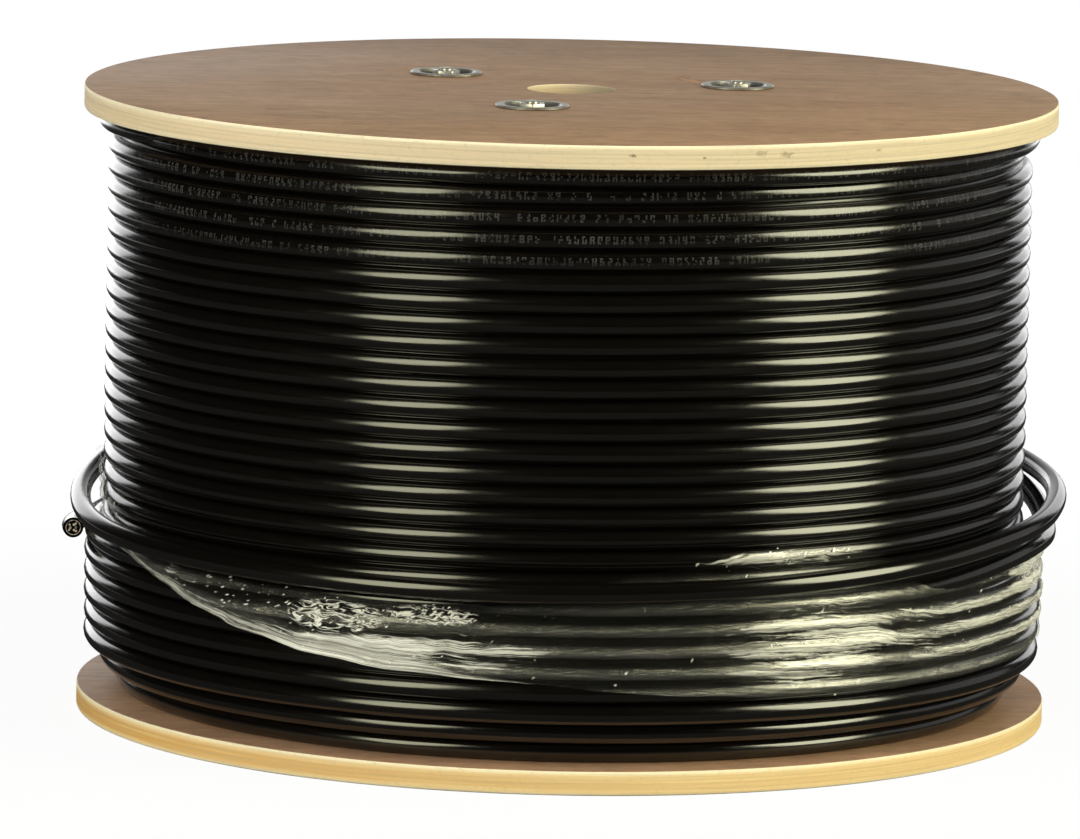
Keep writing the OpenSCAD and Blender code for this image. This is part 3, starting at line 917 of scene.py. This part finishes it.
class DRUM_OT_stage(bpy.types.Operator):
    """Sets the camera, the lamps, the white surround and the floor"""

    bl_idname = "drum.stage"
    bl_label = "Stage"

    def execute(self, context):
        stage = context.scene.drum_stage
        context.scene.view_settings.view_transform = "Standard"
        self.camera(context, stage)
        for name, level, warm, azimuth, elevation, size, in_gloss in LAMPS:
            tint = stage.lamp_tint if warm else WHITE[:3]
            lamp = self.softbox(context, name, getattr(stage, level), tint, azimuth, elevation, size)
            lamp.visible_glossy = in_gloss
        self.surround(context)
        self.floor(context)
        return {"FINISHED"}

    def camera(self, context, stage):
        """Long lens from the front, a little above and rolled."""
        data = bpy.data.cameras.new("photo_camera")
        data.lens = stage.lens
        data.sensor_width = 36
        data.sensor_fit = "HORIZONTAL"
        data.clip_end = 50
        eye = bpy.data.objects.new("photo_camera", data)
        turn = Matrix.Rotation(math.pi / 2 - stage.pitch, 4, "X") @ Matrix.Rotation(stage.roll, 4, "Z")
        eye.matrix_world = Matrix.Translation(stage.eye) @ turn
        context.scene.collection.objects.link(eye)
        context.scene.camera = eye

    def softbox(self, context, name, level, tint, azimuth, elevation, size):
        """Large soft lamp aimed at the drum; its level is its own brightness."""
        data = bpy.data.lights.new(name, "AREA")
        data.shape = "ELLIPSE"
        data.size, data.size_y = size
        data.energy = level * math.pi * math.pi / 4 * size[0] * size[1]
        data.color = tint
        lamp = bpy.data.objects.new(name, data)
        azimuth, elevation = math.radians(azimuth), math.radians(elevation)
        centre = Vector((0, 0, DRUM_HEIGHT / 2))
        away = polar(azimuth, LAMP_REACH * math.cos(elevation), LAMP_REACH * math.sin(elevation))
        aim = (-away).to_track_quat("-Z", "Y").to_matrix().to_4x4()
        lamp.matrix_world = Matrix.Translation(centre + away) @ aim
        lamp.visible_camera = False
        context.scene.collection.objects.link(lamp)
        return lamp

    def surround(self, context):
        """White behind the drum, dim in front of it, plain white to the camera."""
        behind, dim, bright = (-0.1, 1.0, 0.0), 0.008, 0.8
        world = bpy.data.worlds.new("studio")
        sky = Nodes(world)
        sky.tree.nodes.clear()
        where = sky.node("ShaderNodeTexCoord").outputs["Generated"]
        facing = sky.node("ShaderNodeVectorMath", {"operation": "DOT_PRODUCT"}, {0: where, 1: behind})
        level = sky.span(facing.outputs["Value"], 0.9, 0.97, dim, bright)
        seen = sky.node("ShaderNodeLightPath").outputs["Is Camera Ray"]
        back = sky.node("ShaderNodeBackground", inputs={
            "Color": WHITE, "Strength": sky.choose(seen, level, 1.0)})
        sky.node("ShaderNodeOutputWorld", inputs={"Surface": back.outputs[0]})
        context.scene.world = world

    def floor(self, context):
        """Pale round floor that reads as white and keeps the drum's shadow."""
        bm = bmesh.new()
        bmesh.ops.create_circle(bm, cap_ends=True, radius=4.0, segments=96)
        mesh = bpy.data.meshes.new("studio_floor")
        bm.to_mesh(mesh)
        bm.free()
        floor = bpy.data.objects.new("studio_floor", mesh)
        context.scene.collection.objects.link(floor)
        finish = Finish("studio_white")
        path = finish.node("ShaderNodeLightPath").outputs
        pale = finish.blend(path["Is Diffuse Ray"], shade(WHITE[:3], 0.05), shade(WHITE[:3], 0.35))
        finish.look(Base_Color=pale, Roughness=0.9, Specular_IOR_Level=0.0)
        mirrored_from, whitens = (0.9, 2.6), (0.35, 0.9)
        place = finish.place()
        behind = finish.span(finish.parts(place)[1], *mirrored_from)
        shown = finish.added(path["Is Glossy Ray"], behind, path["Is Camera Ray"])
        white = finish.times(shown, finish.span(finish.length(place), *whitens, 0.94, 1.0))
        glow = finish.node("ShaderNodeEmission", inputs={"Color": WHITE, "Strength": white})
        both = finish.node("ShaderNodeAddShader", inputs={0: finish.shader.outputs[0], 1: glow.outputs[0]})
        finish.feed(finish.tree.nodes["Material Output"].inputs["Surface"], both.outputs[0])
        mesh.materials.append(finish.material)


class DRUM_OT_loose_end(bpy.types.Operator):
    """Lays the loose cable end round the drum, with its cut end"""

    bl_idname = "drum.loose_end"
    bl_label = "Loose End"

    def execute(self, context):
        cable = context.scene.drum_cable
        path = loose_path()
        piece = cable_curve("loose_cable", path, cable.diameter / 2, LOOSE_ROUND_STEPS)
        piece.data.use_fill_caps = True
        piece.data.splines[0].use_smooth = True
        piece.data.materials.append(jacket_finish(cable, "black_jacket_loose", False))
        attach(piece, BODY)
        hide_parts("loose_end")
        core = self.cut_end(cable, path)
        return {"FINISHED"}

    def cut_end(self, cable, path):
        """Foil and cores that show in the sawn end."""
        cores = 8
        foil_out, foil_in = cable.diameter * 0.37, cable.diameter * 0.34
        lift, core_r, wire_r, near, far = (v * MM for v in (0.35, 0.52, 0.27, 1.15, 1.9))
        bm = bmesh.new()
        foil = [(foil_in, -lift), (foil_in, lift), (foil_out, lift), (foil_out, -lift), (foil_in, -lift)]
        turned(bm, foil, FOIL_STEPS)
        for k in range(cores):
            angle = FULL_TURN * (k + 0.35 * math.sin(k * 2.3)) / cores
            centre = polar(angle, far if k % 2 else near, 0)
            up = lift * (1.3 + 0.5 * math.sin(k * 1.7))
            core = [(0, up * 0.8), (core_r * 0.9, up * 0.8), (core_r, up * 0.6), (core_r, -lift)]
            wire = [(0, up * 1.5), (wire_r * 0.85, up * 1.5), (wire_r, up * 1.3), (wire_r, 0)]
            turned(bm, core, CORE_STEPS, centre)
            turned(bm, wire, WIRE_STEPS, centre)
        weld(bm)
        heading = (path[-1] - path[-2]).normalized()
        turn = heading.to_track_quat("Z", "Y").to_matrix().to_4x4()
        bmesh.ops.transform(bm, matrix=Matrix.Translation(path[-1]) @ turn, verts=bm.verts)
        finish = Finish("cut_end_metal")
        spots = finish.grain(finish.place(), (900, 900, 900), 3, 0.6)
        finish.look(Base_Color=finish.ramp(spots, CUT_END_COLOURS), Metallic=0.25, Roughness=0.4)
        return put_piece("cut_end_cores", finish_mesh("cut_end_cores", bm), [finish.material])


class DRUM_OT_winding(bpy.types.Operator):
    """Winds the cable: a plain inner body, the last full layer and the lower turns on top of it"""

    bl_idname = "drum.winding"
    bl_label = "Winding"

    def execute(self, context):
        cable = context.scene.drum_cable
        jacket = jacket_finish(cable, "black_jacket", True)
        for name, path in (("wound_layer", full_layer_path(cable)), ("lap_layer", lap_layer_path(cable))):
            layer = tube_mesh(name, path, cable.diameter / 2)
            put_piece(name, layer, [jacket], ["cable_winding"])
        self.inner_body(cable, jacket)
        return {"FINISHED"}

    def inner_body(self, cable, jacket):
        """Body under the turns that show, stepped as they are."""
        half_pitch = (turn_height(1) - turn_height(0)) / 2
        low = turn_height(0)
        high = turn_height(TURN_COUNT - 1)
        profile = [(cable.bore_radius, low), (row_radius(cable, 0), low)]
        for row in range(1, LAP_ROWS):
            step = turn_height(row) - half_pitch
            out = row_radius(cable, row) if row < LAP_ROWS - 1 else cable.full_radius
            profile += [(row_radius(cable, row - 1), step), (out, step)]
        profile += [(cable.full_radius, high), (cable.bore_radius, high), (cable.bore_radius, low)]
        slim = []
        for point in profile:
            if not slim or (Vector(point) - Vector(slim[-1])).length > BODY_WELD:
                slim.append(point)
        bm = bmesh.new()
        turned(bm, slim, BODY_STEPS)
        weld(bm, BODY_WELD)
        mesh = finish_mesh("winding_body", bm)
        put_piece("winding_body", mesh, [jacket], ["cable_winding"])


class DRUM_OT_flanges(bpy.types.Operator):
    """Makes the two plywood flanges, with their bores, cup seats and sawn edges"""

    bl_idname = "drum.flanges"
    bl_label = "Flanges"

    def execute(self, context):
        wood = context.scene.drum_wood
        upper = [
            veneer_finish(wood, "upper_veneer", wood.upper_veneer, TORN_AT),
            ply_finish(wood, "upper_sawn_ply", wood.upper_ply, 0.15, EDGE_KNOTS, UPPER_FACE, DRUM_HEIGHT)]
        lower = [
            veneer_finish(wood, "lower_veneer", wood.lower_veneer),
            ply_finish(wood, "lower_sawn_ply", wood.lower_ply, 0.95, (), 0.0, LOWER_FACE)]
        self.disc("lower_flange", wood, CUP_RECESS, False, "plywood_lower", lower, "bottom_flange")
        self.disc("upper_flange", wood, 0.0, True, "plywood_upper", upper, "top_flange")
        return {"FINISHED"}

    def disc(self, name, wood, recess, turned_over, slot, materials, node):
        """Disc from zero up, its cup seats below and its barrel groove above."""
        thick = LOWER_FACE
        bm = bmesh.new()
        turned(bm, self.rim(wood, thick), RIM_STEPS)
        bore, break_r = ARBOR_RADIUS, 0.4 * MM
        hole = [(bore + break_r, 0), (bore, break_r), (bore, thick - break_r), (bore + break_r, thick)]
        turned(bm, hole, BORE_STEPS)
        groove_in, groove_out, groove_z = 93.8 * MM, 100.2 * MM, thick - 3 * MM
        groove = [(groove_in, thick), (groove_in, groove_z), (groove_out, groove_z), (groove_out, thick)]
        turned(bm, groove, GROOVE_STEPS)
        mouth, seat, bolt, recess_r = (v * MM for v in (13.25, 10.0, 3.5, 15.3))
        depth = recess + 4.8 * MM
        cup = [(mouth, recess), (seat, depth), (bolt, depth), (bolt, thick)]
        if recess:
            cup = [(recess_r, 0), (recess_r, recess)] + cup
        for angle in BOLT_ANGLES:
            centre = polar(math.radians(-angle if turned_over else angle), BOLT_CIRCLE_RADIUS, 0)
            turned(bm, cup, SEAT_STEPS, centre)
        bmesh.ops.remove_doubles(bm, verts=bm.verts, dist=WELD)
        cap_level(bm, 0.0)
        cap_level(bm, thick, outside=groove_in)
        cap_level(bm, thick, inside=groove_out - 0.1 * MM)
        if turned_over:
            flip = Matrix.Translation((0, 0, DRUM_HEIGHT)) @ Matrix.Rotation(math.pi, 4, "X")
            bmesh.ops.transform(bm, matrix=flip, verts=bm.verts)
        bmesh.ops.recalc_face_normals(bm, faces=bm.faces)
        bm.normal_update()
        for face in bm.faces:
            face.material_index = 0 if abs(face.normal.z) > FACE_UPRIGHT else 1
        self.fray(bm, FLANGE_RADIUS - 2 * wood.rim_round)
        put_piece(name, finish_mesh(name, bm), materials, [node])

    def rim(self, wood, thick):
        """Profile of the sawn edge, broken at both faces and grooved at the glue lines."""
        edge, corner, bite, plies = FLANGE_RADIUS, wood.rim_round, wood.ply_relief, 9
        profile = [(edge - corner, 0), (edge - corner * 0.3, corner * 0.3), (edge, corner)]
        for k in range(1, plies):
            z = corner + (thick - 2 * corner) * k / plies
            profile.append((edge - (bite if k % 3 == 0 else bite * 0.2 * (k % 2)), z))
        return profile + [
            (edge, thick - corner), (edge - corner * 0.3, thick - corner * 0.3), (edge - corner, thick)]

    def fray(self, bm, from_radius):
        """Roughens the sawn edge slightly."""
        amount, waves_round, waves_up = 0.06 * MM, 30, 900
        for vertex in bm.verts:
            reach = vertex.co.xy.length
            if reach > from_radius:
                angle = math.atan2(vertex.co.y, vertex.co.x)
                x, y = math.cos(angle) * waves_round, math.sin(angle) * waves_round
                vertex.co.xy *= 1 + amount * wobble(x, y, vertex.co.z * waves_up) / reach


class DRUM_OT_barrel(bpy.types.Operator):
    """Gives the fibreboard tube its finish"""

    bl_idname = "drum.barrel"
    bl_label = "Barrel"

    def execute(self, context):
        finish = board_finish(context.scene.drum_wood)
        tube = bpy.data.objects["barrel"]
        if not tube.material_slots:
            raise RuntimeError("the barrel has no material slot")
        for slot in tube.material_slots:
            slot.material = finish
        return {"FINISHED"}


class DRUM_OT_fasteners(bpy.types.Operator):
    """Makes the tie bolts, cup washers and nuts"""

    bl_idname = "drum.fasteners"
    bl_label = "Fasteners"

    def execute(self, context):
        # The last number is the share of painted shade below the cup rims
        cup_zinc = zinc_finish("dull_zinc", (0.38, 0.37, 0.33), (0.58, 0.57, 0.52), 0.85)
        bolt_zinc = zinc_finish("bright_zinc", (0.55, 0.53, 0.47), (0.80, 0.78, 0.72), 0.25)
        for i, angle in enumerate(BOLT_ANGLES, 1):
            centre = polar(math.radians(angle), BOLT_CIRCLE_RADIUS, 0)
            self.washer(f"upper_cup_{i}", centre, True, cup_zinc, f"cup_washer_top_{i}")
            self.washer(f"lower_cup_{i}", centre, False, cup_zinc, f"cup_washer_bottom_{i}")
            self.nut(f"hex_nut_{i}", centre, 11 + 37 * i, bolt_zinc, f"nut_{i}")
            self.bolt(f"hex_bolt_{i}", centre, 23 + 19 * i, bolt_zinc, f"tie_bolt_{i}")
        return {"FINISHED"}

    def seat(self, name, bm, place, zinc, node):
        """Moves a fastener to its place and links it."""
        bmesh.ops.transform(bm, matrix=place, verts=bm.verts)
        put_piece(name, finish_mesh(name, bm), [zinc], [node])

    def at_angle(self, centre, degrees):
        """Place at a bolt's centre, turned about its axis."""
        return Matrix.Translation(centre) @ Matrix.Rotation(math.radians(degrees), 4, "Z")

    def washer(self, name, centre, upper, zinc, node):
        """Pressed cup washer, rim on or in the wood and dish below it."""
        hole, floor, mouth, rim, thick, dip, lip = (v * MM for v in (3.3, 8.5, 11.75, 15.0, 1.2, 4.5, 0.35))
        profile = [
            (hole, -dip), (floor + thick, -dip), (floor + thick + lip, -dip + lip), (mouth + thick, 0),
            (rim - lip, 0), (rim, lip), (rim, thick - lip), (rim - lip * 0.6, thick - lip * 0.2),
            (rim - lip * 1.6, thick), (mouth + lip * 2, thick), (mouth + lip * 0.6, thick - lip * 0.3),
            (mouth, thick - lip * 1.4), (floor + lip, -dip + thick + lip), (floor - lip, -dip + thick),
            (hole, -dip + thick), (hole, -dip)]
        bm = bmesh.new()
        turned(bm, profile, WASHER_STEPS)
        weld(bm)
        if upper:
            place = Matrix.Translation(centre + Vector((0, 0, DRUM_HEIGHT)))
        else:
            place = Matrix.Translation(centre + Vector((0, 0, thick))) @ Matrix.Rotation(math.pi, 4, "X")
        self.seat(name, bm, place, zinc, node)

    def hexagon(self, bm, low, high, bore=None):
        """Hexagonal block with broken corners and, where one is given, a bore."""
        corner, chamfer = HEX_ACROSS / math.sqrt(3), 0.35 * MM
        ring = bmesh.ops.create_circle(bm, cap_ends=False, radius=corner, segments=6)["verts"]
        bmesh.ops.translate(bm, vec=(0, 0, low), verts=ring)
        edges = [e for e in bm.edges if e.verts[0] in ring and e.verts[1] in ring]
        raised = bmesh.ops.extrude_edge_only(bm, edges=edges)["geom"]
        bmesh.ops.translate(
            bm, vec=(0, 0, high - low), verts=[g for g in raised if isinstance(g, bmesh.types.BMVert)])
        if bore:
            turned(bm, (
                (bore + chamfer, low), (bore, low + chamfer), (bore, high - chamfer),
                (bore + chamfer, high)), BOLT_STEPS)
        bmesh.ops.remove_doubles(bm, verts=bm.verts, dist=WELD)
        cap_level(bm, low)
        cap_level(bm, high)
        bmesh.ops.recalc_face_normals(bm, faces=bm.faces)
        outer = [e for e in bm.edges if all(v.co.xy.length > corner - 0.01 * MM for v in e.verts)]
        bmesh.ops.bevel(
            bm, geom=outer, offset=chamfer, offset_type="OFFSET", segments=2, profile=0.5,
            affect="EDGES", material=-1, clamp_overlap=True)

    def nut(self, name, centre, turn, zinc, node):
        """Nut on the washer's floor."""
        low = DRUM_HEIGHT - 3.3 * MM
        bm = bmesh.new()
        self.hexagon(bm, low, low + 5 * MM, 3.1 * MM)
        self.seat(name, bm, self.at_angle(centre, turn), zinc, node)

    def bolt(self, name, centre, turn, zinc, node):
        """Bolt with its head in the lower cup and its thread through the nut."""
        seat, head, radius, root, chamfer, pitch = (v * MM for v in (4.5, 4.0, 3.0, 2.6, 0.75, 1.0))
        end = DRUM_HEIGHT + 2.7 * MM
        thread_from = DRUM_HEIGHT - 12 * MM
        bm = bmesh.new()
        self.hexagon(bm, seat - head, seat)
        shank = [(0, seat - head / 2), (radius, seat - head / 2), (radius, thread_from)]
        z = thread_from
        while z + 2 * pitch < end - chamfer:
            shank += [(root, z + pitch * 0.4), (root, z + pitch * 0.55)]
            shank += [(radius, z + pitch * 0.9), (radius, z + pitch)]
            z += pitch
        shank += [(root, end - chamfer * 0.8), (root, end - chamfer * 0.4)]
        shank += [(root - chamfer * 0.5, end), (0, end)]
        turned(bm, shank, BOLT_STEPS)
        weld(bm)
        self.seat(name, bm, self.at_angle(centre, turn), zinc, node)


class DRUM_OT_film(bpy.types.Operator):
    """Wraps the gathered band of stretch film round the lower turns"""

    bl_idname = "drum.film"
    bl_label = "Stretch Film"

    def execute(self, context):
        film = context.scene.drum_film
        cable = context.scene.drum_cable
        bm = bmesh.new()
        bm.loops.layers.uv.new(FILM_UV)
        bmesh.ops.create_grid(
            bm, x_segments=film.steps_round, y_segments=film.steps_up, size=0.5, calc_uvs=True)
        folds, tufts, crests = (bm.verts.layers.float.new(name) for name in FILM_LAYERS)
        for vertex in bm.verts:
            share = vertex.co.y + 0.5
            degrees = -180 + 360 * (vertex.co.x + 0.5)
            vertex.co, crest = self.lie(film, cable, degrees, share)
            hem = self.hem_share(degrees, vertex.co.z)
            white = from_table(FILM_HEM_WHITE, degrees) * smooth_step(hem)
            vertex[folds] = max(white, self.patch_share(FILM_FOLDS, degrees, vertex.co.z))
            vertex[tufts] = self.patch_share(FILM_TUFTS, degrees, vertex.co.z)
            vertex[crests] = max(crest, min(1.0, hem))
        bmesh.ops.remove_doubles(bm, verts=bm.verts, dist=BODY_WELD)
        mesh = finish_mesh("film_band", bm, 180)
        piece = put_piece("film_band", mesh, [film_finish(film)], ["stretch_film"])
        return {"FINISHED"}

    def patch_share(self, patches, degrees, height):
        """How far a place lies inside the patches of a table, from 0 to each one's own share."""
        share = 0.0
        for angle, middle, half_width, half_height, most in patches:
            away = ((degrees - angle + 180) % 360 - 180) / half_width
            off = away * away + ((height / MM - middle) / half_height) ** 2
            if off < 1:
                share = max(share, most * (1 - off * off))
        return share

    def hem_share(self, degrees, height):
        """How far inside the rolled hem a place lies: over 1 at the lower edge, 0 above the hem."""
        at_edge = 1.25
        hem = from_table(FILM_HEM, degrees)
        if hem <= 0:
            return 0.0
        return max(0.0, at_edge - (height / MM - from_table(FILM_LOW, degrees)) / hem)

    def rest_radius(self, film, cable, degrees, height):
        """Radius at which film rests on the turns, dipping between them, and how near a crest it is."""
        reach = cable.diameter / 2 + film.stand_off
        tubes = [(row_radius(cable, LAP_ROWS - 1), turn_height(LAP_ROWS - 1))]
        for row in range(LAP_ROWS + 1):
            angle = degrees + 360 * row
            if LAP_STEP_DEG <= angle <= LAP_END_DEG - LAP_LEAVE_DEG:
                tubes.append(lap_place(cable, angle))
        past = ((degrees - TURN_DATUM_DEG) % 360) / 360
        tubes += [(cable.full_radius, turn_height(i + past)) for i in range(LAP_ROWS - 1, LAP_ROWS + 6)]
        tubes.sort(key=lambda tube: tube[1])
        best, crest = 0.0, 0.0
        for radius, level in tubes:
            gap = height - level
            if abs(gap) < reach:
                best = max(best, radius + math.sqrt(reach * reach - gap * gap))
                crest = max(crest, 1 - abs(gap) / reach)
        for (r0, z0), (r1, z1) in zip(tubes, tubes[1:]):
            if z0 <= height <= z1 and z1 > z0:
                line = r0 + (r1 - r0) * (height - z0) / (z1 - z0) + reach
                best = max(best, line - film.sag)
        return best, crest

    def lie(self, film, cable, degrees, share):
        """Place of one point of the band, and how near the crest of a turn it is."""
        turn = math.radians(degrees)
        x, y = math.cos(turn), math.sin(turn)

        def ripple(waves, start):
            return wobble(x * waves, y * waves, start)

        low = from_table(FILM_LOW, degrees) * MM + RAGGED_LOW * ripple(10, 17)
        high = from_table(FILM_HIGH, degrees) * MM + RAGGED_HIGH * (ripple(14, 3) + 0.5 * ripple(45, 9))
        height = low + (high - low) * share
        amount = from_table(FILM_CRUMPLE, degrees) * MM
        level = height / MM
        big, mid, small = (
            ridge(x * waves, y * waves, level * rise + start) for waves, rise, start in FILM_CREASES)
        pleat = ridge(x * 3.5, y * 3.5, share * 7.0 + 21)
        crease = max(0.0, 0.4 * big + 0.35 * mid * big + 0.25 * small * mid + 0.35 * pleat - 0.35)
        lift = amount * crease * (0.45 + 0.75 * share)
        height += amount * ripple(26, level * 0.14 + 40) * min(share, 1 - share)
        hem = min(1.0, self.hem_share(degrees, height))
        lift += from_table(FILM_HEM, degrees) * MM * HEM_ROLL * math.sin(math.pi * hem)
        radius, crest = self.rest_radius(film, cable, degrees, height)
        return polar(turn, radius + lift, height), crest


class DRUM_PT_panel(bpy.types.Panel):
    """Steps that build the drum, in order"""

    bl_idname = "DRUM_PT_panel"
    bl_label = "Cable Drum"
    bl_space_type = "VIEW_3D"
    bl_region_type = "UI"
    bl_category = "Cable Drum"

    def draw(self, context):
        for operator in OPERATORS:
            self.layout.operator(operator.bl_idname)
        for name, group in GROUPS.items():
            settings = getattr(context.scene, name)
            box = self.layout.box()
            for setting in group.__annotations__:
                box.prop(settings, setting)


GROUPS = {"drum_wood": DrumWood, "drum_cable": DrumCable, "drum_film": DrumFilm, "drum_stage": DrumStage}
OPERATORS = (
    DRUM_OT_stage, DRUM_OT_loose_end, DRUM_OT_winding, DRUM_OT_flanges, DRUM_OT_barrel, DRUM_OT_fasteners,
    DRUM_OT_film,
)


def register():
    """Registers the settings, the operators and the panel."""
    for name, group in GROUPS.items():
        bpy.utils.register_class(group)
        setattr(bpy.types.Scene, name, PointerProperty(type=group))
    for operator in OPERATORS:
        bpy.utils.register_class(operator)
    bpy.utils.register_class(DRUM_PT_panel)


def unregister():
    """Takes away what register() added."""
    bpy.utils.unregister_class(DRUM_PT_panel)
    for operator in reversed(OPERATORS):
        bpy.utils.unregister_class(operator)
    for name, group in reversed(GROUPS.items()):
        delattr(bpy.types.Scene, name)
        bpy.utils.unregister_class(group)


def main():
    """Builds the drum step by step."""
    register()
    bpy.ops.drum.stage()
    bpy.ops.drum.loose_end()
    bpy.ops.drum.winding()
    bpy.ops.drum.flanges()
    bpy.ops.drum.barrel()
    bpy.ops.drum.fasteners()
    bpy.ops.drum.film()


if __name__ == "__main__":
    main()
